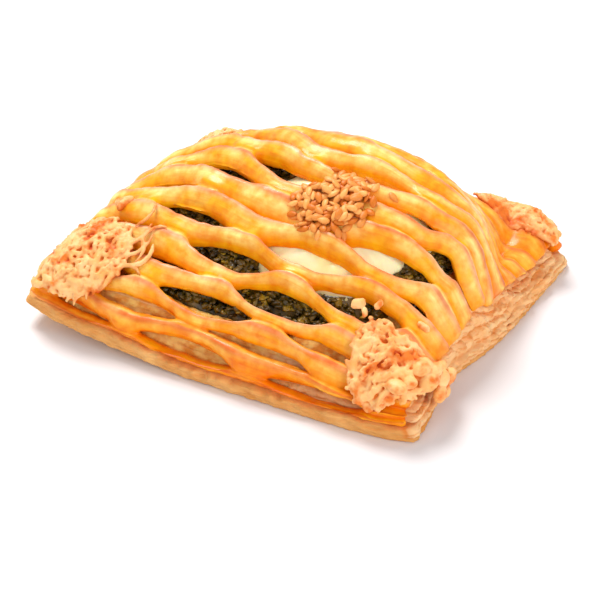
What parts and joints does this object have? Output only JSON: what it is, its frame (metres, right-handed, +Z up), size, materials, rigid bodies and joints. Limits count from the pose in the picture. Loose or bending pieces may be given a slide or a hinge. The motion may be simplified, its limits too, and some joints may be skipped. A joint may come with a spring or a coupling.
{
  "type": "spinach puff pastry",
  "caption": "Rectangular puff pastry parcel with a slit lattice lid over spinach and cream, grated cheese on its corners and a small pile of sesame seeds.",
  "frame": {"origin": "on the table, under the middle of the parcel's rectangular base", "axes": "+X along the parcel's long side, +Y along its short side from the near edge to the far edge, +Z up"},
  "size_m": [0.1063, 0.0929, 0.0382],
  "materials": {
    "pale_pastry": "pale golden baked pastry with flaky cut layers",
    "golden_pastry": "egg-washed golden baked pastry, slightly glossy",
    "spinach": "moist chopped cooked spinach, dark green",
    "cream": "smooth moist white cheese cream",
    "grated_cheese": "melted grated cheese, lightly browned"
  },
  "bodies": {
    "root": {"pastry_base": "pale_pastry", "pastry_lattice": "golden_pastry", "spinach_filling": "spinach", "cream_filling": "cream", "cheese_left": "grated_cheese", "cheese_front": "grated_cheese", "cheese_right": "grated_cheese", "cheese_back": "grated_cheese"}
  },
  "joints": []
}
